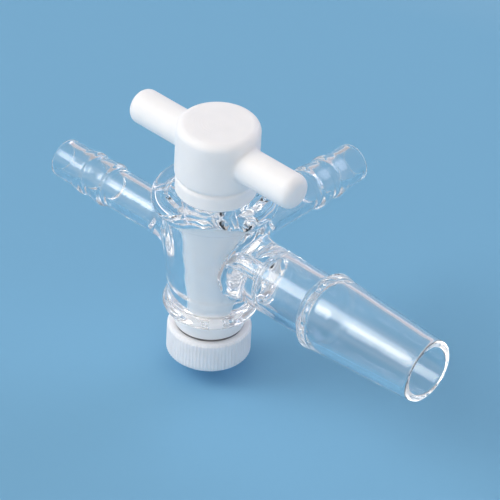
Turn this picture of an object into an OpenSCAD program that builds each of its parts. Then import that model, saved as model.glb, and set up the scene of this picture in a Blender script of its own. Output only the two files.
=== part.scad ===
// Three-way T stopcock: a blown glass body with a male cone and two hose arms, a PTFE key with a
// T handle, and the washer, sealing ring and knurled nut that draw the key down into its taper.
// Millimetres. Z is the key's axis, with its handle up, and Z = 0 is the nut's underside.
// The male cone points along +X, one hose arm along -X and the other along +Y.

/* [Key] */
// Height of the round head above its neck
head_h = 11.1; // [8:0.1:16]
// Radius of the head
head_r = 8.0; // [7:0.1:11]
// Rounding of the head's upper edge
head_round = 1.6; // [0.5:0.1:3]
// Radius of the handle bar
bar_r = 3.5; // [2.5:0.1:4.2]
// Length of the handle bar, end to end
bar_length = 41.0; // [30:0.5:70]
// Rounding of the bar's ends
bar_round = 1.8; // [0.5:0.1:2.4]
// Height of the neck between collar and head
neck_h = 0.7; // [0.3:0.1:2]
// Depth of the neck below the head's surface
neck_depth = 0.7; // [0.2:0.1:1.5]
// Height of the collar that sits over the glass rim
collar_h = 3.2; // [2:0.1:6]
// How far the collar stands out past the plug's upper end
collar_step = 0.75; // [0.4:0.05:2]
// Radius of the tapered plug at the arms' axis
plug_r = 5.7; // [5:0.1:7]
// Plug taper: loss of radius for each millimetre of height
plug_slope = 0.1; // [0.05:0.01:0.12]
// Radius of the bores in the key and in the barrel wall
port_r = 1.25; // [0.75:0.05:2]
// Radius of the threaded stem, over its thread
stem_r = 3.5; // [2.5:0.1:3.9]
// Depth of each of the two flats on the stem
stem_flat = 0.5; // [0.3:0.1:0.9]

/* [Stack under the barrel] */
// Height of the knurled nut
nut_h = 6.3; // [5:0.1:10]
// Outer radius of the nut, over its knurl
nut_r = 8.1; // [7.4:0.1:12]
// Chamfer of the nut's edges
nut_chamfer = 0.6; // [0.2:0.1:1]
// Number of knurl teeth
knurl_count = 72; // [36:4:96]
// Depth of the knurl
knurl_depth = 0.22; // [0.1:0.02:0.4]
// Height of the washer
washer_h = 3.7; // [1.5:0.1:6]
// Outer radius of the washer
washer_r = 6.75; // [6:0.05:9]
// Rounding of the washer's edges
washer_round = 0.35; // [0.1:0.05:0.6]
// Thickness of the sealing ring's section
ring_t = 1.5; // [1:0.1:2]
// Gap between nut and washer, which the sealing ring shows in
ring_show = 0.4; // [0.2:0.05:0.8]
// How far the stem's end stays above the nut's underside
stem_recess = 0.8; // [0.3:0.1:2]

/* [Barrel] */
// Height of the barrel above the arms' axis
barrel_above = 12.85; // [11:0.05:18]
// Depth of the barrel below the arms' axis
barrel_below = 13.95; // [12:0.05:18]
// Wall of the barrel, square to its axis
barrel_wall = 3.6; // [2.5:0.1:5]
// Section radius of the bead round the upper rim
top_bead_r = 1.6; // [1:0.1:2.2]
// How far the upper bead stands out from the barrel
top_bead_out = 1.7; // [0.8:0.1:3]
// Section radius of the bead round the lower rim
low_bead_r = 1.1; // [0.7:0.1:1.6]
// How far the lower bead stands out from the barrel
low_bead_out = 1.1; // [0.5:0.1:2]

/* [Cone arm] */
// Diameter of the cone at its large end
cone_d = 15.0; // [12:0.1:19]
// Length of the cone
cone_length = 25.0; // [18:0.5:35]
// Cone taper: loss of diameter for each millimetre of length
cone_taper = 0.1; // [0.05:0.01:0.12]
// Distance of the cone's large end from the barrel's axis
cone_start = 29.2; // [26:0.1:40]
// Outer radius of the tube that carries the cone
cone_tube_r = 6.3; // [5.5:0.1:7]
// Wall of the tube and the cone
cone_wall = 1.3; // [1:0.05:1.8]
// How far the bead at the large end stands out from the cone
ridge_out = 0.25; // [0.1:0.05:0.8]
// Length of the bead's rise from the tube
ridge_rise = 1.9; // [1:0.1:3]
// Length of the bead's fall to the cone
ridge_fall = 2.6; // [1:0.1:4]
// Distance of the hollow's inner end from the barrel's axis
cone_hollow_start = 13.6; // [12.5:0.1:18]

/* [Hose arms] */
// Distance of each hose arm's tip from the barrel's axis
hose_length = 39.5; // [32:0.5:60]
// Outer radius of the hose arm's tube
hose_r = 3.95; // [3:0.05:4.6]
// Outer radius of its tip, in front of the barbs
hose_tip_r = 3.9; // [3:0.05:4.6]
// Wall of the hose arms
hose_wall = 1.2; // [0.8:0.05:1.6]
// Radius over the barb next to the tip
barb_1_r = 4.42; // [4:0.02:5.4]
// Radius over the barb next to the barrel
barb_2_r = 4.5; // [4:0.02:5.4]
// Radius of the waist between the barbs
waist_r = 4.1; // [3:0.05:4.8]
// Distance of the first barb's crest from the tip
barb_1_at = 7.7; // [5:0.1:10]
// Distance between the crests of the two barbs
barb_pitch = 5.05; // [4:0.05:8]
// Length of a barb's slow rise from the tip's side
barb_rise = 3.4; // [2:0.1:3.8]
// Length of a barb's quick fall towards the barrel
barb_fall = 1.1; // [0.6:0.1:2]
// Distance of the hollow's inner end from the barrel's axis
hose_hollow_start = 12.4; // [12:0.1:18]

/* [Fused roots] */
// How far the cone arm's tube widens where it runs into the barrel
cone_root_rise = 1.5; // [0.5:0.1:2]
// Distance from the barrel's surface over which it widens
cone_root_length = 3.6; // [2:0.1:6]
// How far a hose arm's tube widens where it runs into the barrel
hose_root_rise = 2.1; // [1:0.1:3]
// Distance from the barrel's surface over which it widens
hose_root_length = 5.0; // [3:0.1:8]

/* [Fits] */
// Radial running gap between plug and barrel
plug_gap = 0.05; // [0.02:0.01:0.1]
// Radial running gap between stem and nut, and between stem and washer
stem_gap = 0.05; // [0.02:0.01:0.1]
// Height of the key's collar above the glass rim
collar_gap = 0.2; // [0.1:0.05:0.6]
// Clearance round and under the sealing ring in the nut's recess
ring_gap = 0.1; // [0.04:0.02:0.2]

/* [Hidden] */
$fn = 96;
fine = 0.01;
through = 1;
round_steps = 6;
swell_steps = 6;
fire_polish = 0.45;
plug_lift = 0.6;

// heights, from the nut's underside up
washer_z = nut_h + ring_show;
barrel_z = washer_z + washer_h;
arm_z = barrel_z + barrel_below;
rim_z = arm_z + barrel_above;
collar_z = rim_z + collar_gap;
neck_z = collar_z + collar_h;
head_z = neck_z + neck_h;
head_top = head_z + head_h;
bar_z = head_z + head_h * 0.48;
plug_z = barrel_z + plug_lift;

// radii that follow the taper
function plug_at(z) = plug_r + plug_slope * (z - arm_z);
function socket_at(z) = plug_at(z) + plug_gap;
function barrel_at(z) = socket_at(z) + barrel_wall;
collar_r = plug_at(collar_z) + collar_step;
// the key's side bore, a hair narrower than the bore it runs into
side_port_r = port_r - 0.03;
top_bead_z = rim_z - top_bead_r;
low_bead_z = barrel_z + low_bead_r + 0.15;
top_bead_c = barrel_at(top_bead_z) + top_bead_out - top_bead_r;
low_bead_c = barrel_at(low_bead_z) + low_bead_out - low_bead_r;

// sealing ring and its recess in the nut
ring_outer = washer_r - 0.45;
ring_inner = stem_r + 0.9;
ring_z = washer_z - ring_t;
recess_r = ring_outer + ring_gap;
recess_z = ring_z - ring_gap;

// the cone and the hose arms
cone_tip = cone_start + cone_length;
cone_big_r = cone_d / 2;
cone_tip_r = cone_big_r - cone_taper / 2 * cone_length;
ridge_at = cone_start - 0.4;
ridge_r = cone_big_r + ridge_out;

// points along an arc, from one angle to another
function arc(cx, cy, r, from, to) =
    [for (i = [0:round_steps]) let (a = from + (to - from) * i / round_steps) [cx + r * cos(a), cy + r * sin(a)]];

// points of a smooth step in radius between two places along an arm
function swell(x1, r1, x2, r2) =
    [for (i = [1:swell_steps]) let (t = i / swell_steps) [r1 + (r2 - r1) * (1 - cos(180 * t)) / 2, x1 + (x2 - x1) * t]];

// place along an arm where a tube of radius r is still just inside the barrel all round
function inside_barrel(r) = sqrt(pow(barrel_at(arm_z), 2) - pow(r, 2)) - 0.15;

// concave root that widens an arm's tube of radius r by rise, from its inner end out to the place called end
function root(r, rise, end) =
    let (start = inside_barrel(r + rise))
    [for (i = [round_steps:-1:0]) let (a = 90 * i / round_steps) [r + rise * (1 - cos(a)), end - (end - start) * sin(a)]];

// outer outline of the cone arm as [radius, distance from the barrel's axis], shrunk by a wall
function cone_outline(wall) = concat(
    [[cone_tube_r - wall, ridge_at - ridge_rise]],
    swell(ridge_at - ridge_rise, cone_tube_r - wall, ridge_at, ridge_r - wall),
    swell(ridge_at, ridge_r - wall, ridge_at + ridge_fall, cone_at(ridge_at + ridge_fall) - wall)
);
function cone_at(x) = cone_big_r - cone_taper / 2 * (x - cone_start);

// outline of a hose arm past its plain tube, from the barrel's side to the tip, shrunk by a wall
function barb_outline(wall) =
    let (crest_1 = hose_length - barb_1_at, crest_2 = crest_1 - barb_pitch, waist = crest_1 - barb_fall)
    concat(
        [[hose_r - wall, crest_2 - barb_fall]],
        swell(crest_2 - barb_fall, hose_r - wall, crest_2, barb_2_r - wall),
        swell(crest_2, barb_2_r - wall, waist, waist_r - wall),
        swell(waist, waist_r - wall, crest_1, barb_1_r - wall),
        swell(crest_1, barb_1_r - wall, crest_1 + barb_rise, hose_tip_r - wall)
    );

// turns a shape that stands along Z into an arm at the arms' height
module arm_place(angle) {
    translate([0, 0, arm_z]) rotate([0, 90, angle]) children();
}

module barrel_solid() {
    rotate_extrude() polygon([
        [0, barrel_z],
        [barrel_at(barrel_z) - 0.5, barrel_z],
        [barrel_at(barrel_z + 0.5), barrel_z + 0.5],
        [barrel_at(rim_z - 0.5), rim_z - 0.5],
        [barrel_at(rim_z) - 0.9, rim_z - 0.12],
        [0, rim_z - 0.12]
    ]);
    translate([0, 0, top_bead_z]) rotate_extrude() translate([top_bead_c, 0]) circle(top_bead_r);
    translate([0, 0, low_bead_z]) rotate_extrude() translate([low_bead_c, 0]) circle(low_bead_r);
}

module cone_arm_solid() {
    root_end = barrel_at(arm_z) + cone_root_length;
    tip = [
        [cone_tip_r, cone_tip - fire_polish],
        [cone_tip_r - fire_polish * 0.3, cone_tip - fire_polish * 0.3],
        [cone_tip_r - fire_polish, cone_tip],
        [0, cone_tip]
    ];
    rotate_extrude() polygon(concat([[0, inside_barrel(cone_tube_r + cone_root_rise)]],
        root(cone_tube_r, cone_root_rise, root_end), cone_outline(0), tip));
}

module cone_arm_hollow() {
    inner_r = cone_tube_r - cone_wall;
    tip_in = cone_tip_r - cone_wall;
    rotate_extrude() polygon(concat([[0, cone_hollow_start]],
        [for (p = arc(0, 0, 1, 90, 10)) [inner_r * p[0], cone_hollow_start + 0.6 * inner_r * (1 - p[1])]],
        cone_outline(cone_wall),
        [[tip_in, cone_tip - fire_polish], [tip_in + fire_polish, cone_tip + fine], [0, cone_tip + fine]]));
}

module hose_arm_solid() {
    root_end = barrel_at(arm_z) + hose_root_length;
    tip = [
        [hose_tip_r, hose_length - fire_polish],
        [hose_tip_r - fire_polish * 0.3, hose_length - fire_polish * 0.3],
        [hose_tip_r - fire_polish, hose_length],
        [0, hose_length]
    ];
    rotate_extrude() polygon(concat([[0, inside_barrel(hose_r + hose_root_rise)]],
        root(hose_r, hose_root_rise, root_end), barb_outline(0), tip));
}

module hose_arm_hollow() {
    inner_r = hose_r - hose_wall;
    tip_in = hose_tip_r - hose_wall;
    rotate_extrude() polygon(concat([[0, hose_hollow_start]],
        [for (p = arc(0, 0, 1, 90, 10)) [inner_r * p[0], hose_hollow_start + 0.8 * inner_r * (1 - p[1])]],
        barb_outline(hose_wall),
        [[tip_in, hose_length - fire_polish], [tip_in + fire_polish, hose_length + fine], [0, hose_length + fine]]));
}

// channel from the socket out to an arm's hollow
module port(length) {
    cylinder(r = port_r, h = length);
}

module socket() {
    low = barrel_z - through;
    high = rim_z + through;
    translate([0, 0, low]) cylinder(r1 = socket_at(low), r2 = socket_at(high), h = high - low);
}

module glass_body() {
    color([0.85, 0.93, 0.97, 0.4]) difference() {
        union() {
            barrel_solid();
            arm_place(0) cone_arm_solid();
            arm_place(180) hose_arm_solid();
            arm_place(90) hose_arm_solid();
        }
        socket();
        arm_place(0) cone_arm_hollow();
        arm_place(180) hose_arm_hollow();
        arm_place(90) hose_arm_hollow();
        arm_place(0) port(cone_hollow_start + through);
        arm_place(180) port(hose_hollow_start + through);
        arm_place(90) port(hose_hollow_start + through);
    }
}

// head, neck, collar and plug share one outline
module key_turned() {
    neck_r = head_r - neck_depth;
    rotate_extrude() polygon(concat(
        [
            [0, plug_z],
            [plug_at(plug_z), plug_z],
            [plug_at(collar_z), collar_z],
            [collar_r - 0.5, collar_z],
            [collar_r, collar_z + 0.5],
            [collar_r, neck_z - 0.8],
            [collar_r - 0.25, neck_z - 0.25],
            [neck_r, neck_z],
            [neck_r, head_z],
            [head_r - 0.15, head_z + 0.4],
            [head_r, head_z + 0.9]
        ],
        arc(head_r - head_round, head_top - head_round, head_round, 0, 90),
        [[0, head_top]]
    ));
}

module handle_bar() {
    half = bar_length / 2;
    translate([0, 0, bar_z]) rotate([0, 90, 0]) rotate_extrude() polygon(concat(
        [[0, -half]],
        arc(bar_r - bar_round, bar_round - half, bar_round, 270, 360),
        arc(bar_r - bar_round, half - bar_round, bar_round, 0, 90),
        [[0, half]]
    ));
}

// round bar with two flats, grown by a gap for the holes that fit on it
module flatted_bar(gap, low, high) {
    r = stem_r + gap;
    across = 2 * (stem_r - stem_flat + gap);
    translate([0, 0, low]) intersection() {
        cylinder(r = r, h = high - low);
        translate([-r - 1, -across / 2, 0]) cube([2 * r + 2, across, high - low]);
    }
}

module key() {
    color("white") difference() {
        union() {
            key_turned();
            handle_bar();
            flatted_bar(0, stem_recess, plug_z + 0.5);
        }
        translate([-plug_r - through, 0, arm_z]) rotate([0, 90, 0]) cylinder(r = port_r, h = 2 * (plug_r + through));
        translate([0, 0, arm_z]) rotate([-90, 0, 0]) cylinder(r = side_port_r, h = plug_r + through);
    }
}

module washer() {
    color("whitesmoke") difference() {
        translate([0, 0, washer_z]) rotate_extrude() polygon([
            [0, 0],
            [washer_r - washer_round, 0],
            [washer_r, washer_round],
            [washer_r, washer_h - washer_round],
            [washer_r - washer_round, washer_h],
            [0, washer_h]
        ]);
        flatted_bar(stem_gap, washer_z - through, barrel_z + through);
    }
}

// sealing ring, squeezed flat against the washer above it
module sealing_ring() {
    mid = (ring_outer + ring_inner) / 2;
    half_w = (ring_outer - ring_inner) / 2;
    corner = ring_t * 0.38;
    color([0.12, 0.12, 0.13]) translate([0, 0, ring_z]) rotate_extrude() polygon(concat(
        arc(mid + half_w - corner, corner, corner, -90, 0),
        arc(mid + half_w - corner, ring_t - corner, corner, 0, 90),
        arc(mid - half_w + corner, ring_t - corner, corner, 90, 180),
        arc(mid - half_w + corner, corner, corner, 180, 270)
    ));
}

// toothed outline of the knurl, one valley between each pair of crests
module knurl_section() {
    step = 360 / knurl_count;
    polygon([for (i = [0:2 * knurl_count - 1])
        let (a = i * step / 2, r = (i % 2 == 0) ? nut_r : nut_r - knurl_depth) [r * cos(a), r * sin(a)]]);
}

module nut() {
    color("white") difference() {
        intersection() {
            linear_extrude(nut_h) knurl_section();
            rotate_extrude() polygon([
                [0, 0],
                [nut_r - nut_chamfer, 0],
                [nut_r + knurl_depth, nut_chamfer + knurl_depth],
                [nut_r + knurl_depth, nut_h - nut_chamfer - knurl_depth],
                [nut_r - nut_chamfer, nut_h],
                [0, nut_h]
            ]);
        }
        translate([0, 0, -through]) cylinder(r = stem_r + stem_gap, h = nut_h + 2 * through);
        translate([0, 0, recess_z]) cylinder(r = recess_r, h = nut_h);
    }
}

glass_body();
key();
washer();
sealing_ring();
nut();
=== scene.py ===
"""A three-way T stopcock: clear glass body, white PTFE key, washer, sealing ring and knurled nut.

Shapes are worked out in millimetres, in the frame of the CAD model, and turned into metres when
their meshes are made. Z is the key's axis, the cone points along +X, the hose arms along -X and +Y.
The bodies are the glass, the key, the washer with the sealing ring, and the nut.
"""
import math

import bpy
import numpy as np
from mathutils import Matrix, Vector


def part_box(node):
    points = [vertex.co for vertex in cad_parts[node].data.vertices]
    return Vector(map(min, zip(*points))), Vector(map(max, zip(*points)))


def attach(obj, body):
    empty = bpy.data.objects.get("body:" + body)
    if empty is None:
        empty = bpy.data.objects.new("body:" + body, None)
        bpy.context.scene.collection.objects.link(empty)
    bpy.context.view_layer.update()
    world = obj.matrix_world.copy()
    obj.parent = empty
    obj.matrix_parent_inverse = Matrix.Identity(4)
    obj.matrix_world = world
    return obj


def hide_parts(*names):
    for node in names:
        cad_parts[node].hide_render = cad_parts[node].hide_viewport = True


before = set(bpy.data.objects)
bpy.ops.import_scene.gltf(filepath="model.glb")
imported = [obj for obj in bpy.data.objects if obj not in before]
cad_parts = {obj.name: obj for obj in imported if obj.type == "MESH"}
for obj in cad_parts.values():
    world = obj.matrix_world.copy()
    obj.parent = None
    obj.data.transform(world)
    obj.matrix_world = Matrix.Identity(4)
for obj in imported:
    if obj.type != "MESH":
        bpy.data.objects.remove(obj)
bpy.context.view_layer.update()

MM = 0.001


def box_mm(node):
    """Lowest and highest corner of a CAD node, in millimetres."""
    low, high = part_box(node)
    return [v / MM for v in low], [v / MM for v in high]


glass_low, glass_high = box_mm("glass_body")
key_low, key_high = box_mm("key")
washer_low, washer_high = box_mm("washer")
ring_low, ring_high = box_mm("sealing_ring")
nut_low, nut_high = box_mm("nut")

# Heights: lower ends, but for the rim's upper edge and the axes of the arms and the handle bar
BARREL_BELOW = 13.95
PLUG_RAISED = 0.6
HEAD_H, NECK_H, COLLAR_H = 11.1, 0.7, 3.2
BAR_SHARE = 0.48
BARREL_Z, RIM_Z = glass_low[2], glass_high[2]
ARM_Z = BARREL_Z + BARREL_BELOW
PLUG_Z = BARREL_Z + PLUG_RAISED
HEAD_TOP = key_high[2]
HEAD_Z = HEAD_TOP - HEAD_H
NECK_Z = HEAD_Z - NECK_H
COLLAR_Z = NECK_Z - COLLAR_H
BAR_Z = HEAD_Z + BAR_SHARE * HEAD_H

# Radii; the plug's radius is the one at the arms' axis
PLUG_R = 5.7
TAPER = 0.1
PLUG_GAP = 0.05
BARREL_WALL = 3.6
HEAD_R = 8.0
NECK_R = 7.3
BAR_R = 3.5
PORT_R = 1.25
STEM_R = 3.5
STEM_FLAT_DEPTH = 0.5
STEM_FLAT = STEM_R - STEM_FLAT_DEPTH
STEM_GAP = 0.05
THREAD_PITCH = 1.25
THREAD_DEPTH = 0.42


# ---------------------------------------------------------------- distance fields

def round_max(a, b, radius):
    """Where both shapes are, with the edge between them rounded."""
    corner = np.hypot(np.maximum(a + radius, 0), np.maximum(b + radius, 0))
    return np.minimum(np.maximum(a, b), -radius) + corner


def round_min(a, b, radius):
    """Where either shape is, with a fillet between them."""
    corner = np.hypot(np.maximum(radius - a, 0), np.maximum(radius - b, 0))
    return np.maximum(np.minimum(a, b), radius) - corner


def soft_min(a, b, width):
    """Where either shape is, melted together over a width."""
    h = np.maximum(width - np.abs(a - b), 0) / width
    return np.minimum(a, b) - h * h * h * width / 6


def ease(t):
    """Smooth step from 0 to 1."""
    t = np.clip(t, 0, 1)
    return t * t * (3 - 2 * t)


def hump(x, start, top, end):
    """0 before start, 1 at top and 0 after end."""
    return np.where(x < top, ease((x - start) / (top - start)), ease((end - x) / (end - top)))


def plug_at(z):
    """Radius of the tapered plug at a height."""
    return PLUG_R + TAPER * (z - ARM_Z)


def tube(along, across, radius_of):
    """Distance from a turned surface whose radius changes along its axis."""
    step = 0.05
    slope = (radius_of(along + step) - radius_of(along - step)) / (2 * step)
    return (across - radius_of(along)) / np.sqrt(1 + slope * slope)


def bore(along, across, radius_of, start, dome):
    """Distance from the hollow of an arm, whose inner end is a dome."""
    wide = radius_of(start + dome)
    a, b = (along - start - dome) / dome, across / wide
    k0 = np.hypot(a, b)
    k1 = np.hypot(a / dome, b / wide)
    end = k0 * (k0 - 1) / np.maximum(k1, 1e-6)
    return np.where(along < start + dome, end, tube(along, across, radius_of))


# ---------------------------------------------------------------- meshes

SETTLE_REACH, LEAST_SLOPE = 0.6, 0.05
RELAX_ROUNDS, RELAX_SHARE = 4, 0.6
ARC_STEPS = 6


def gradient(field, points, step=0.02):
    """Slope of a field at points, along each axis."""
    slope = np.empty_like(points)
    for axis in range(3):
        shift = np.zeros(3)
        shift[axis] = step
        ahead, behind = field(*(points + shift).T), field(*(points - shift).T)
        slope[:, axis] = (ahead - behind) / (2 * step)
    return slope


def settle(field, points, rounds=2):
    """Moves points onto the surface where a field is zero."""
    for _ in range(rounds):
        slope = gradient(field, points)
        share = field(*points.T) / np.maximum((slope * slope).sum(1), LEAST_SLOPE)
        points = points - np.clip(share, -SETTLE_REACH, SETTLE_REACH)[:, None] * slope
    return points


def surface_net(field, low, high, cell):
    """Points, quads and normals of the surface where a field is zero, from a grid of cells."""
    low = np.array(low, float)
    counts = [int(math.ceil((high[i] - low[i]) / cell)) + 2 for i in range(3)]
    lines = [low[i] + cell * np.arange(counts[i]) for i in range(3)]
    values = field(*np.meshgrid(*lines, indexing="ij"))
    inside = (values < 0).astype(np.int8)

    # Each grid edge that crosses the surface gives a quad, which joins the four cells round it
    rings, hits = [], []
    for axis in range(3):
        u, v = (axis + 1) % 3, (axis + 2) % 3
        change = np.diff(inside, axis=axis)
        at = np.argwhere(change)
        turn = change[tuple(at.T)] > 0
        above = at.copy()
        above[:, axis] += 1
        start = values[tuple(at.T)]
        share = start / (start - values[tuple(above.T)])
        hit = low + cell * at
        hit[:, axis] += cell * share
        ring = []
        for du, dv in ((0, 0), (1, 0), (1, 1), (0, 1)):
            cells = at.copy()
            cells[:, u] -= du
            cells[:, v] -= dv
            ring.append(np.ravel_multi_index(cells.T, counts))
        ring = np.stack(ring, 1)
        ring[turn] = ring[turn][:, ::-1]
        rings.append(ring)
        hits.append(hit)
    rings, hits = np.concatenate(rings), np.concatenate(hits)

    # Each cell's point starts at the mean of its crossings
    cells, index = np.unique(rings, return_inverse=True)
    quads = index.reshape(-1, 4)
    flat = quads.ravel()
    crossings = np.bincount(flat).astype(float)
    four = np.repeat(hits, 4, axis=0)
    points = np.stack([np.bincount(flat, four[:, i]) / crossings for i in range(3)], 1)
    points = settle(field, points)

    # Then the points are evened out along the surface
    a = np.concatenate([quads[:, i] for i in range(4)])
    b = np.concatenate([quads[:, (i + 1) % 4] for i in range(4)])
    count = len(points)
    degree = (np.bincount(a, minlength=count) + np.bincount(b, minlength=count)).astype(float)

    def near_mean(values):
        """Mean of values over each point's neighbours."""
        return (np.bincount(a, values[b], count) + np.bincount(b, values[a], count)) / degree

    for _ in range(RELAX_ROUNDS):
        mean = np.stack([near_mean(points[:, i]) for i in range(3)], 1)
        points = settle(field, points + RELAX_SHARE * (mean - points), 1)
    points = settle(field, points, 2)
    normals = gradient(field, points)
    normals /= np.linalg.norm(normals, axis=1)[:, None]
    return points, quads, normals


def make_piece(name, body, points, faces, normals=None, node=None, *, slot, material):
    """A mesh object from points in millimetres, riding on a body."""
    mesh = bpy.data.meshes.new(name)
    mesh.from_pydata((np.asarray(points) * MM).tolist(), [], np.asarray(faces).tolist())
    mesh.validate()
    mesh.shade_smooth()
    if normals is not None:
        mesh.normals_split_custom_set_from_vertices(normals.tolist())
    mesh.materials.append(material)
    obj = bpy.data.objects.new(name, mesh)
    bpy.context.scene.collection.objects.link(obj)
    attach(obj, body)
    if node:
        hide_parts(node)


def lathe(outline, spokes, radius_at=None):
    """Closed turned ring from an outline of (radius, height), going round once."""
    angles = 2 * math.pi * np.arange(spokes) / spokes
    outline = np.array(outline, float)
    n = len(outline)
    r = np.repeat(outline[None, :, 0], spokes, 0)
    z = np.repeat(outline[None, :, 1], spokes, 0)
    if radius_at is not None:
        r = radius_at(r, z, angles[:, None])
    x, y = r * np.cos(angles)[:, None], r * np.sin(angles)[:, None]
    points = np.stack([x, y, z], 2).reshape(-1, 3)
    i = np.arange(spokes)[:, None]
    j = np.arange(n)[None, :]
    here, up = i * n + j, i * n + (j + 1) % n
    turn, both = ((i + 1) % spokes) * n + j, ((i + 1) % spokes) * n + (j + 1) % n
    faces = np.stack([here, turn, both, up], 2).reshape(-1, 4)
    return points, faces


def rounded(corners, steps=ARC_STEPS):
    """Closed outline with each corner (radius, height, rounding) replaced by an arc."""
    outline = []
    n = len(corners)
    for i in range(n):
        p = np.array(corners[i][:2], float)
        before = np.array(corners[i - 1][:2], float) - p
        after = np.array(corners[(i + 1) % n][:2], float) - p
        size = corners[i][2]
        before /= np.linalg.norm(before)
        after /= np.linalg.norm(after)
        half = math.acos(np.clip(before @ after, -1, 1)) / 2
        start, end = p + before * size / math.tan(half), p + after * size / math.tan(half)
        middle = before + after
        centre = p + middle / np.linalg.norm(middle) * size / math.sin(half)
        a0 = math.atan2(*(start - centre)[::-1])
        a1 = math.atan2(*(end - centre)[::-1])
        sweep = (a1 - a0 + math.pi) % (2 * math.pi) - math.pi
        for k in range(steps + 1):
            a = a0 + sweep * k / steps
            outline.append(centre + size * np.array([math.cos(a), math.sin(a)]))
    return outline


def divided(outline, longest):
    """The outline with its long sides divided."""
    result = []
    for i, p in enumerate(outline):
        q = outline[(i + 1) % len(outline)]
        parts = max(1, int(math.ceil(np.linalg.norm(q - p) / longest)))
        result += [p + (q - p) * k / parts for k in range(parts)]
    return result


# ---------------------------------------------------------------- materials

# A noise mostly stays between these two
NOISE_LOW, NOISE_HIGH = 0.3, 0.7


def shader(name, **values):
    """A Principled material, and its nodes."""
    material = bpy.data.materials.new(name)
    material.use_nodes = True
    nodes, links = material.node_tree.nodes, material.node_tree.links
    surface = nodes["Principled BSDF"]
    for socket, value in values.items():
        surface.inputs[socket.replace("_", " ")].default_value = value
    return material, nodes, links, surface


def object_noise(nodes, links, scale, detail=3.0):
    """Noise in the object's own space, with its scale in waves for each metre."""
    place = nodes.new("ShaderNodeTexCoord")
    noise = nodes.new("ShaderNodeTexNoise")
    noise.inputs["Scale"].default_value = scale
    noise.inputs["Detail"].default_value = detail
    links.new(place.outputs["Object"], noise.inputs["Vector"])
    return noise.outputs["Fac"]


def spread(nodes, links, source, low, high, start=NOISE_LOW, end=NOISE_HIGH):
    """Maps a source from start to end onto numbers from low to high."""
    node = nodes.new("ShaderNodeMapRange")
    node.inputs["From Min"].default_value = start
    node.inputs["From Max"].default_value = end
    node.inputs["To Min"].default_value = low
    node.inputs["To Max"].default_value = high
    links.new(source, node.inputs["Value"])
    return node.outputs["Result"]


def colours(nodes, links, source, low, high, start=NOISE_LOW, end=NOISE_HIGH):
    """Maps a source from start to end onto colours from low to high."""
    ramp = nodes.new("ShaderNodeValToRGB")
    ramp.color_ramp.elements[0].position = start
    ramp.color_ramp.elements[0].color = (*low, 1)
    ramp.color_ramp.elements[1].position = end
    ramp.color_ramp.elements[1].color = (*high, 1)
    links.new(source, ramp.inputs["Fac"])
    return ramp.outputs["Color"]


def bumps(nodes, links, surface, *layers):
    """Stacks bumps, each (height, distance in metres)."""
    below = None
    for height, distance in layers:
        bump = nodes.new("ShaderNodeBump")
        bump.inputs["Distance"].default_value = distance
        links.new(height, bump.inputs["Height"])
        if below:
            links.new(below, bump.inputs["Normal"])
        below = bump.outputs["Normal"]
    links.new(below, surface.inputs["Normal"])


def glass_material():
    """Clear borosilicate glass, with faint smudges and the waviness of hot work."""
    material, nodes, links, surface = shader(
        "clear_glass", Transmission_Weight=1.0, IOR=1.473, Base_Color=(1, 1, 1, 1))
    smudge = object_noise(nodes, links, scale=120, detail=4)
    links.new(spread(nodes, links, smudge, 0.0, 0.03), surface.inputs["Roughness"])
    wave = object_noise(nodes, links, scale=110, detail=1.5)
    bumps(nodes, links, surface, (wave, 0.00006))
    return material


def turning_marks(nodes, links, per_metre):
    """Noise in rings round the Z axis, as a lathe tool leaves them on sides and ends."""
    place = nodes.new("ShaderNodeTexCoord")
    split = nodes.new("ShaderNodeSeparateXYZ")
    radius = nodes.new("ShaderNodeVectorMath")
    radius.operation = "LENGTH"
    flat = nodes.new("ShaderNodeCombineXYZ")
    total = nodes.new("ShaderNodeMath")
    total.operation = "ADD"
    noise = nodes.new("ShaderNodeTexNoise")
    noise.noise_dimensions = "1D"
    noise.inputs["Scale"].default_value = per_metre
    noise.inputs["Detail"].default_value = 3
    links.new(place.outputs["Object"], split.inputs["Vector"])
    links.new(split.outputs["X"], flat.inputs["X"])
    links.new(split.outputs["Y"], flat.inputs["Y"])
    links.new(flat.outputs["Vector"], radius.inputs[0])
    links.new(radius.outputs["Value"], total.inputs[0])
    links.new(split.outputs["Z"], total.inputs[1])
    links.new(total.outputs["Value"], noise.inputs["W"])
    return noise.outputs["Fac"]


def ptfe_material(name, low, high, roughness, mark_depth):
    """White PTFE or similar plastic, cloudy between two colours, with faint marks of turning."""
    material, nodes, links, surface = shader(
        name, IOR=1.36, Subsurface_Weight=0.6, Subsurface_Radius=(1.0, 0.95, 0.9),
        Subsurface_Scale=0.0022)
    cloud = object_noise(nodes, links, scale=260, detail=4)
    links.new(colours(nodes, links, cloud, low, high), surface.inputs["Base Color"])
    sheen = object_noise(nodes, links, scale=900)
    links.new(spread(nodes, links, sheen, roughness - 0.05, roughness + 0.06),
              surface.inputs["Roughness"])
    grain = object_noise(nodes, links, scale=2600, detail=2)
    marks = turning_marks(nodes, links, per_metre=3000)
    bumps(nodes, links, surface, (marks, mark_depth), (grain, 0.000008))
    return material


def rubber_material():
    """Dark grey rubber with a fine grain."""
    material, nodes, links, surface = shader("ring_rubber", IOR=1.5)
    cloud = object_noise(nodes, links, scale=700, detail=4)
    links.new(colours(nodes, links, cloud, (0.15, 0.15, 0.16), (0.22, 0.22, 0.23)),
              surface.inputs["Base Color"])
    sheen = object_noise(nodes, links, scale=1500)
    links.new(spread(nodes, links, sheen, 0.5, 0.72), surface.inputs["Roughness"])
    bumps(nodes, links, surface, (object_noise(nodes, links, scale=3000), 0.00002))
    return material


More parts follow.
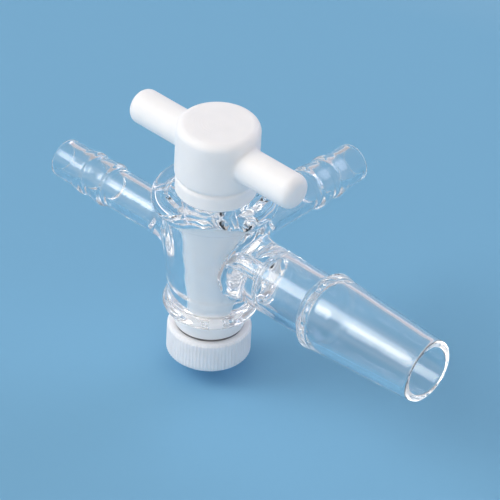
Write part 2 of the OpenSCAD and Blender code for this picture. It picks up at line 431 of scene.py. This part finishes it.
GLASS = glass_material()
PTFE = ptfe_material(
    "ptfe_white", (0.925, 0.925, 0.925), (0.96, 0.957, 0.955), roughness=0.42, mark_depth=0.00003)
WASHER = ptfe_material(
    "washer_ptfe", (0.93, 0.93, 0.93), (0.96, 0.96, 0.96), roughness=0.45, mark_depth=0.00003)
NUT = ptfe_material(
    "nut_plastic", (0.84, 0.845, 0.87), (0.90, 0.90, 0.92), roughness=0.4, mark_depth=0.00001)
RUBBER = rubber_material()


# ---------------------------------------------------------------- the glass body

GLASS_CELL = 0.4
GLASS_MARGIN = 1.1

# Barrel: the beads' radii and how far they stand out, and the roundings of its edges
TOP_BEAD_R, TOP_BEAD_OUT, TOP_BEAD_MELT = 1.6, 1.7, 1.6
LOW_BEAD_R, LOW_BEAD_OUT, LOW_BEAD_MELT = 1.1, 1.1, 1.4
LOW_BEAD_RAISED = 0.15
RIM_ROUND, FOOT_ROUND, SOCKET_ROUND = 1.0, 0.5, 0.3

# Cone arm: the ridge is the bead at the cone's large end
CONE_LENGTH = 25.0
CONE_TIP = glass_high[0]
CONE_START = CONE_TIP - CONE_LENGTH
CONE_BIG_R = 7.5
CONE_TUBE_R, CONE_WALL = 6.3, 1.3
RIDGE_AT, RIDGE_RISE, RIDGE_FALL, RIDGE_OUT = CONE_START - 0.4, 1.9, 2.6, 0.25
INNER_RISE = 2.6
LIP_SWELL, LIP_SWELL_LENGTH = 0.12, 3
CONE_HOLLOW, CONE_DOME = 13.6, 3.0
CONE_ROOT = 4.2

# Hose arms: barb 1 is the one next to the tip
HOSE_TIP = glass_high[1]
HOSE_R, HOSE_TIP_R, HOSE_WALL = 3.95, 3.9, 1.2
CREST_1, CREST_2 = HOSE_TIP - 7.7, HOSE_TIP - 12.75
CREST_1_R, CREST_2_R, WAIST_R = 4.42, 4.5, 4.1
BARB_BACK, BARB_SLOPE = 1.1, 3.4
HOSE_HOLLOW, HOSE_DOME = 12.4, 2.2
HOSE_ROOT = 5.5

# All arms
LIP_ROUND = 0.5
MOUTH_ROUND = 0.45
PORT_MELT = 1.2

# Unevenness of the hand-blown glass: its size, and where it starts to fade away from the axis
UNEVEN, UNEVEN_FAR_SHARE = 0.018, 0.12
UNEVEN_R, UNEVEN_FADE = 12, 6


def barrel_at(z):
    """Outer radius of the barrel at a height."""
    return plug_at(z) + PLUG_GAP + BARREL_WALL


def cone_at(x):
    """Radius of the standard cone at a distance from the barrel's axis."""
    return CONE_BIG_R - TAPER / 2 * (x - CONE_START)


def cone_radius(x):
    """Outer radius of the cone arm at a distance from the barrel's axis."""
    share = ease((x - RIDGE_AT + RIDGE_RISE) / RIDGE_RISE)
    bead = RIDGE_OUT * hump(x, RIDGE_AT - RIDGE_RISE, RIDGE_AT, RIDGE_AT + RIDGE_FALL)
    return CONE_TUBE_R + (cone_at(x) - CONE_TUBE_R) * share + bead


def cone_inner(x):
    """Radius of the cone arm's hollow.

    It widens later than the outside, so the bead is thick glass, and narrows a little at the lip.
    """
    share = ease((x - RIDGE_AT + INNER_RISE / 2) / INNER_RISE)
    swell = LIP_SWELL * ease((x - CONE_TIP + LIP_SWELL_LENGTH) / LIP_SWELL_LENGTH)
    return CONE_TUBE_R + (cone_at(x) - CONE_TUBE_R) * share - CONE_WALL - swell


def hose_radius(x):
    """Outer radius of a hose arm at a distance from the barrel's axis."""
    waist = CREST_1 - BARB_BACK
    plain = HOSE_R + (WAIST_R - HOSE_R) * ease((x - CREST_2) / (waist - CREST_2))
    plain = plain + (HOSE_TIP_R - WAIST_R) * ease((x - CREST_1) / BARB_SLOPE)
    near = (CREST_2_R - HOSE_R) * ease((x - CREST_2 + BARB_BACK) / BARB_BACK)
    near = near * ease((waist - x) / (waist - CREST_2))
    far = (CREST_1_R - WAIST_R) * hump(x, waist, CREST_1, CREST_1 + BARB_SLOPE)
    return plain + near + far


def hose_inner(x):
    """Radius of a hose arm's hollow."""
    return hose_radius(x) - HOSE_WALL


def arm(along, across, radius_of, tip):
    """One arm's outer surface, from the barrel's axis to its rounded tip."""
    lip = round_max(tube(along, across, radius_of), along - tip, LIP_ROUND)
    return np.maximum(lip, -along)


def hollow(along, across, radius_of, start, dome):
    """One arm's hollow, with the channel that joins it to the socket."""
    inner = bore(along, across, radius_of, start, dome)
    port = np.maximum(across - PORT_R, np.maximum(-along, along - start - dome))
    return soft_min(inner, port, PORT_MELT)


def bead(r, z, centre_z, bead_r, out):
    """Distance from the bead round a rim of the barrel."""
    return np.hypot(r - barrel_at(centre_z) - out + bead_r, z - centre_z) - bead_r


def hand_blown(x, y, z):
    """Slight unevenness of glass shaped by hand, strongest round the barrel and the arms' roots."""
    near = np.exp(-np.maximum(np.hypot(x, y) - UNEVEN_R, 0) / UNEVEN_FADE)
    # Waves of 3 to 5 mm, slanting, so that they don't line up with any arm
    wave = np.sin(0.9 * x + 1.3 * y + 0.4) * np.sin(1.1 * z - 0.5 * y)
    wave = wave + np.sin(1.7 * y - 1.2 * z + 0.8 * x)
    return UNEVEN * wave * (UNEVEN_FAR_SHARE + (1 - UNEVEN_FAR_SHARE) * near)


def glass_field(x, y, z):
    """Distance from the whole glass body."""
    up = z - ARM_Z
    r = np.hypot(x, y)
    barrel = tube(z, r, barrel_at)
    barrel = round_max(barrel, z - RIM_Z, RIM_ROUND)
    barrel = round_max(barrel, BARREL_Z - z, FOOT_ROUND)
    top = bead(r, z, RIM_Z - TOP_BEAD_R, TOP_BEAD_R, TOP_BEAD_OUT)
    low = bead(r, z, BARREL_Z + LOW_BEAD_R + LOW_BEAD_RAISED, LOW_BEAD_R, LOW_BEAD_OUT)
    outside = soft_min(soft_min(barrel, top, TOP_BEAD_MELT), low, LOW_BEAD_MELT)
    along_x, along_y = np.hypot(y, up), np.hypot(x, up)
    outside = soft_min(outside, arm(x, along_x, cone_radius, CONE_TIP), CONE_ROOT)
    outside = soft_min(outside, arm(-x, along_x, hose_radius, HOSE_TIP), HOSE_ROOT)
    outside = soft_min(outside, arm(y, along_y, hose_radius, HOSE_TIP), HOSE_ROOT)
    outside = outside + hand_blown(x, y, z)
    for along, across, radius_of, start, dome in (
            (x, along_x, cone_inner, CONE_HOLLOW, CONE_DOME),
            (-x, along_x, hose_inner, HOSE_HOLLOW, HOSE_DOME),
            (y, along_y, hose_inner, HOSE_HOLLOW, HOSE_DOME)):
        inner = hollow(along, across, radius_of, start, dome)
        outside = round_max(outside, -inner, MOUTH_ROUND)
    socket = tube(z, r, lambda h: plug_at(h) + PLUG_GAP)
    return round_max(outside, -socket, SOCKET_ROUND)


glass_net = surface_net(
    glass_field, [v - GLASS_MARGIN for v in glass_low], [v + GLASS_MARGIN for v in glass_high],
    GLASS_CELL)
make_piece("glass_shell", "glass", *glass_net, node="glass_body", slot="glass", material=GLASS)


# ---------------------------------------------------------------- the key

KEY_CELL = 0.32
KEY_MARGIN = 1

HEAD_ROUND, HEAD_FOOT_ROUND = 1.6, 0.45
COLLAR_STEP, COLLAR_ROUND, COLLAR_FOOT_ROUND = 0.75, 0.55, 0.4
NECK_REACH, NECK_FILLET = 3, 0.12
PLUG_FOOT_ROUND, PLUG_REACH = 0.35, 1
BAR_ROUND, BAR_FILLET = 1.8, 0.45
KEY_PORT_MELT, KEY_PORT_ROUND = 0.3, 0.12


def key_field(x, y, z):
    """Distance from the key's head, bar, neck, collar and plug, with its T bore."""
    r = np.hypot(x, y)
    head = round_max(r - HEAD_R, z - HEAD_TOP, HEAD_ROUND)
    head = round_max(head, HEAD_Z - z, HEAD_FOOT_ROUND)
    collar_r = plug_at(COLLAR_Z) + COLLAR_STEP
    collar = round_max(r - collar_r, z - NECK_Z, COLLAR_ROUND)
    collar = round_max(collar, COLLAR_Z - z, COLLAR_FOOT_ROUND)
    neck = np.maximum(r - NECK_R, np.abs(z - NECK_Z) - NECK_REACH)
    plug = round_max(tube(z, r, plug_at), PLUG_Z - z, PLUG_FOOT_ROUND)
    plug = np.maximum(plug, z - COLLAR_Z - PLUG_REACH)
    bar = np.hypot(y, z - BAR_Z) - BAR_R
    bar = round_max(bar, np.abs(x) - key_high[0], BAR_ROUND)
    solid = round_min(round_min(head, neck, NECK_FILLET), collar, NECK_FILLET)
    solid = np.minimum(solid, plug)
    solid = round_min(solid, bar, BAR_FILLET)
    through = np.hypot(y, z - ARM_Z) - PORT_R
    branch = np.maximum(np.hypot(x, z - ARM_Z) - PORT_R, -y)
    return round_max(solid, -soft_min(through, branch, KEY_PORT_MELT), KEY_PORT_ROUND)


key_net = surface_net(
    key_field,
    [key_low[0] - KEY_MARGIN, -HEAD_R - KEY_MARGIN, PLUG_Z - KEY_MARGIN],
    [key_high[0] + KEY_MARGIN, HEAD_R + KEY_MARGIN, HEAD_TOP + KEY_MARGIN],
    KEY_CELL)
make_piece("key_turned", "key", *key_net, node="key", slot="ptfe", material=PTFE)

# The thread's crest and root are flat over these shares of half its pitch
CREST_SHARE, ROOT_SHARE = 0.12, 0.12

STEM_SPOKES, STEM_STEPS = 192, 120
STEM_CHAMFER, STEM_CHAMFER_STEPS = 0.5, 5
STEM_OVERLAP = 0.3
STEM_HOLE, STEM_INNER = 0.02, 1.5


def thread_depth(z, angle):
    """How deep a 60 degree thread is cut at a height and angle: 0 at its crest, 1 at its root."""
    phase = (z / THREAD_PITCH - angle / (2 * math.pi)) % 1
    share = (np.abs(phase - 0.5) * 2 - CREST_SHARE) / (1 - CREST_SHARE - ROOT_SHARE)
    return np.clip(share, 0, 1)


def to_flats(distance, angle):
    """Radius at which a ray from the axis meets one of two flats square to Y."""
    return distance / np.maximum(np.abs(np.sin(angle)), 1e-3)


def stem_radius(r, z, angle):
    """Radius over the threaded stem, cut by its two flats."""
    cut = THREAD_DEPTH * thread_depth(z, angle)
    threaded = np.where(r > STEM_HOLE, r - cut, r)
    return np.minimum(threaded, to_flats(STEM_FLAT, angle))


stem_low = key_low[2]
stem_top = PLUG_Z + STEM_OVERLAP
stem_outline = [
    (STEM_HOLE, stem_low), (STEM_INNER, stem_low), (STEM_R - STEM_CHAMFER, stem_low)]
stem_outline += [
    (STEM_R - STEM_CHAMFER + STEM_CHAMFER * k / STEM_CHAMFER_STEPS,
     stem_low + STEM_CHAMFER * k / STEM_CHAMFER_STEPS)
    for k in range(1, STEM_CHAMFER_STEPS + 1)]
stem_outline += [
    (STEM_R, stem_low + STEM_CHAMFER + (stem_top - stem_low - STEM_CHAMFER) * k / STEM_STEPS)
    for k in range(1, STEM_STEPS + 1)]
stem_outline += [(STEM_HOLE, stem_top)]
stem = lathe(stem_outline, STEM_SPOKES, stem_radius)
make_piece("key_stem", "key", *stem, slot="ptfe", material=PTFE)


# ---------------------------------------------------------------- washer and sealing ring

WASHER_SPOKES, WASHER_STEP = 192, 0.6
WASHER_ROUND, WASHER_HOLE_ROUND = 0.35, 0.12


def washer_hole(r, z, angle):
    """The washer's hole takes the stem's two flats."""
    hole = np.minimum(r, to_flats(STEM_FLAT + STEM_GAP, angle))
    return np.where(r < STEM_R + 1, hole, r)


washer_outline = divided(rounded([
    (STEM_R + STEM_GAP, washer_low[2], WASHER_HOLE_ROUND),
    (washer_high[0], washer_low[2], WASHER_ROUND),
    (washer_high[0], washer_high[2], WASHER_ROUND),
    (STEM_R + STEM_GAP, washer_high[2], WASHER_HOLE_ROUND)]), WASHER_STEP)
washer = lathe(washer_outline, WASHER_SPOKES, washer_hole)
make_piece("washer_turned", "washer", *washer, node="washer", slot="washer_ptfe", material=WASHER)

RING_SPOKES = 144
RING_HOLE_R, RING_ROUND = 4.4, 0.57

ring_outline = rounded([
    (RING_HOLE_R, ring_low[2], RING_ROUND), (ring_high[0], ring_low[2], RING_ROUND),
    (ring_high[0], ring_high[2], RING_ROUND), (RING_HOLE_R, ring_high[2], RING_ROUND)])
ring = lathe(ring_outline, RING_SPOKES)
make_piece(
    "ring_moulded", "washer", *ring, node="sealing_ring", slot="ring_rubber", material=RUBBER)


# ---------------------------------------------------------------- the nut

NUT_R = nut_high[0]
NUT_CHAMFER, NUT_END_ROUND, NUT_SIDE_ROUND = 0.45, 0.15, 0.2
NUT_BORE_R, BORE_FOOT_ROUND, BORE_TOP_ROUND = STEM_R + STEM_GAP + 0.1, 0.25, 0.2
RECESS_R, RECESS_DEPTH, RECESS_ROUND = 6.4, 1.2, 0.12
NUT_STEP, NUT_ARC_STEPS = 0.16, 4
KNURL_COUNT, KNURL_DEPTH, KNURL_SPOKES = 72, 0.14, 8
KNURL_FLAT, KNURL_FADE = 0.25, 0.3
BORE_CREST = 0.12

# The knurl is cut outside the first radius, the thread inside the second
KNURL_FROM_R, BORE_TO_R = 7, 4


def nut_radius(r, z, angle):
    """Cuts the knurl into the rim and the thread into the bore."""
    tooth = np.abs((angle * KNURL_COUNT / (2 * math.pi)) % 1 - 0.5) * 2
    valley = ease(np.clip((tooth - KNURL_FLAT) / (1 - KNURL_FLAT), 0, 1))
    depth = np.clip((r - (NUT_R - NUT_CHAMFER)) / KNURL_FADE, 0, 1)
    outer = r - KNURL_DEPTH * (1 - valley) * depth
    groove = THREAD_DEPTH * (1 - thread_depth(z, angle))
    inner = r + groove - BORE_CREST
    return np.where(r > KNURL_FROM_R, outer, np.where(r < BORE_TO_R, inner, r))


nut_foot, nut_top = nut_low[2], nut_high[2]
recess_z = nut_top - RECESS_DEPTH
nut_outline = divided(rounded([
    (NUT_BORE_R, nut_foot, BORE_FOOT_ROUND),
    (NUT_R - NUT_CHAMFER, nut_foot, NUT_END_ROUND),
    (NUT_R, nut_foot + NUT_CHAMFER, NUT_SIDE_ROUND),
    (NUT_R, nut_top - NUT_CHAMFER, NUT_SIDE_ROUND),
    (NUT_R - NUT_CHAMFER, nut_top, NUT_END_ROUND),
    (RECESS_R, nut_top, RECESS_ROUND),
    (RECESS_R, recess_z, RECESS_ROUND),
    (NUT_BORE_R, recess_z, BORE_TOP_ROUND)], NUT_ARC_STEPS), NUT_STEP)
nut = lathe(nut_outline, KNURL_COUNT * KNURL_SPOKES, nut_radius)
make_piece("nut_knurled", "nut", *nut, node="nut", slot="nut_plastic", material=NUT)


# ---------------------------------------------------------------- floor

# Just low enough to leave room for the nut when it is screwed all the way out
FLOOR_DROP = 3.9

# In metres: half the floor's side, and the distances between which it fades to near white
FLOOR_HALF = 3.0
FADE_START, FADE_END = 0.13, 0.6
FLOOR_BLUE, FLOOR_PALE = (0.19, 0.43, 0.64), (0.86, 0.88, 0.9)


def add_floor():
    """A plain floor, whose colour depends on the distance from the object."""
    corners = ((-1, -1), (1, -1), (1, 1), (-1, 1))
    mesh = bpy.data.meshes.new("floor")
    mesh.from_pydata(
        [(FLOOR_HALF * x, FLOOR_HALF * y, -FLOOR_DROP * MM) for x, y in corners],
        [], [(0, 1, 2, 3)])
    material, nodes, links, surface = shader("floor_pale", Roughness=0.85, IOR=1.3)
    place = nodes.new("ShaderNodeTexCoord")
    distance = nodes.new("ShaderNodeVectorMath")
    distance.operation = "LENGTH"
    links.new(place.outputs["Object"], distance.inputs[0])
    share = spread(nodes, links, distance.outputs["Value"], 0, 1, FADE_START, FADE_END)
    links.new(colours(nodes, links, share, FLOOR_BLUE, FLOOR_PALE, 0, 1),
              surface.inputs["Base Color"])
    mesh.materials.append(material)
    floor = bpy.data.objects.new("floor", mesh)
    bpy.context.scene.collection.objects.link(floor)


add_floor()


# ---------------------------------------------------------------- camera

AZIMUTH, ELEVATION, ROLL = math.radians(41.3), math.radians(36.25), math.radians(3.08)
LENS = 349.7
CAMERA_DISTANCE = 918
AIM = (0, 0, ARM_Z - 0.75)
CAMERA_OFFSET = (7.0, -0.4)
CLIP_METRES = (0.05, 20)

sin_az, cos_az = math.sin(AZIMUTH), math.cos(AZIMUTH)
sin_el, cos_el = math.sin(ELEVATION), math.cos(ELEVATION)
level_right = Vector((cos_az, sin_az, 0))
level_up = Vector((-sin_az * sin_el, cos_az * sin_el, cos_el))
back = Vector((sin_az * cos_el, -cos_az * cos_el, sin_el))
camera_right = level_right * math.cos(ROLL) + level_up * math.sin(ROLL)
camera_up = level_up * math.cos(ROLL) - level_right * math.sin(ROLL)


def add_camera():
    """The camera looks at a point, set off sideways and upwards."""
    data = bpy.data.cameras.new("camera")
    data.lens = LENS
    data.clip_start, data.clip_end = CLIP_METRES
    camera = bpy.data.objects.new("camera", data)
    bpy.context.scene.collection.objects.link(camera)
    place = Vector(AIM) + back * CAMERA_DISTANCE
    place = place + camera_right * CAMERA_OFFSET[0] + camera_up * CAMERA_OFFSET[1]
    turn = Matrix((camera_right, camera_up, back)).transposed().to_4x4()
    camera.matrix_world = Matrix.Translation(place * MM) @ turn
    bpy.context.scene.camera = camera


add_camera()


# ---------------------------------------------------------------- light

LIT_CENTRE = Vector((5, 5, 25))

# The studio's dark side ends and its bright side starts at these shares of the way across
DUSK = (0.1, 0.95)

# Light passes many walls of the glass, and is often reflected inside it
GLASS_BOUNCES, DIFFUSE_BOUNCES = 24, 8


def aimed(sideways, upwards, towards):
    """A direction along the camera's own right, the vertical and back towards the camera."""
    flat_back = Vector((back.x, back.y, 0)).normalized()
    return level_right * sideways + flat_back * towards + Vector((0, 0, upwards))


def add_softbox(name, offset, size, power, colour):
    """A large area light beside the object, turned to it; millimetres and watts."""
    light = bpy.data.lights.new(name, "AREA")
    light.shape = "RECTANGLE"
    light.size, light.size_y = size[0] * MM, size[1] * MM
    light.energy = power
    light.color = colour
    lamp = bpy.data.objects.new(name, light)
    bpy.context.scene.collection.objects.link(lamp)
    lamp.location = (LIT_CENTRE + offset) * MM
    lamp.rotation_mode = "QUATERNION"
    lamp.rotation_quaternion = (-offset).to_track_quat("-Z", "Y")
    lamp.visible_camera = False


def add_world(far, near, towards, lobes):
    """Soft light all round, brighter on one side, with soft round patches.

    Each lobe is a direction, the cosines of its edge and its core, and its strength.
    """
    world = bpy.data.worlds.new("studio")
    bpy.context.scene.world = world
    world.use_nodes = True
    nodes, links = world.node_tree.nodes, world.node_tree.links
    place = nodes.new("ShaderNodeTexCoord")

    def facing(direction):
        """Cosine of the angle between the view and a direction."""
        dot = nodes.new("ShaderNodeVectorMath")
        dot.operation = "DOT_PRODUCT"
        dot.inputs[1].default_value = Vector(direction).normalized()
        links.new(place.outputs["Generated"], dot.inputs[0])
        return dot.outputs["Value"]

    share = spread(nodes, links, facing(towards), 0, 1, -1, 1)
    background = nodes["Background"]
    links.new(colours(nodes, links, share, far, near, *DUSK), background.inputs["Color"])
    total = None
    for direction, (edge, core), strength in lobes:
        base = 1 if total is None else 0
        lobe = spread(nodes, links, facing(direction), base, strength + base, edge, core)
        lobe.node.interpolation_type = "SMOOTHSTEP"
        if total is not None:
            add = nodes.new("ShaderNodeMath")
            add.operation = "ADD"
            links.new(total, add.inputs[0])
            links.new(lobe, add.inputs[1])
            lobe = add.outputs["Value"]
        total = lobe
    links.new(total, background.inputs["Strength"])


add_softbox(
    "top_light", aimed(-120, 560, 60), size=(420, 420), power=0.055, colour=(0.85, 0.93, 1.0))
add_world(far=(0.38, 0.38, 0.43), near=(1.44, 1.40, 1.36), towards=aimed(-74, -20, 62), lobes=(
    # From the upper left: the streaks along the cone and the hose arms
    (aimed(-74, 67, 3), (0.935, 0.988), 5.6),
    # From behind on the right: the bright rims of the glass
    (aimed(42, 25, -38), (0.90, 0.98), 5.5),
    # Wide and low, behind on the right: the far walls of the glass
    (aimed(55, 4, -60), (0.50, 0.95), 1.1),
))

scene = bpy.context.scene
scene.view_settings.view_transform = "Standard"
scene.view_settings.look = "None"
scene.view_settings.exposure = -0.43

scene.cycles.max_bounces = GLASS_BOUNCES
scene.cycles.transmission_bounces = GLASS_BOUNCES
scene.cycles.glossy_bounces = GLASS_BOUNCES
scene.cycles.diffuse_bounces = DIFFUSE_BOUNCES
scene.cycles.blur_glossy = 0.0
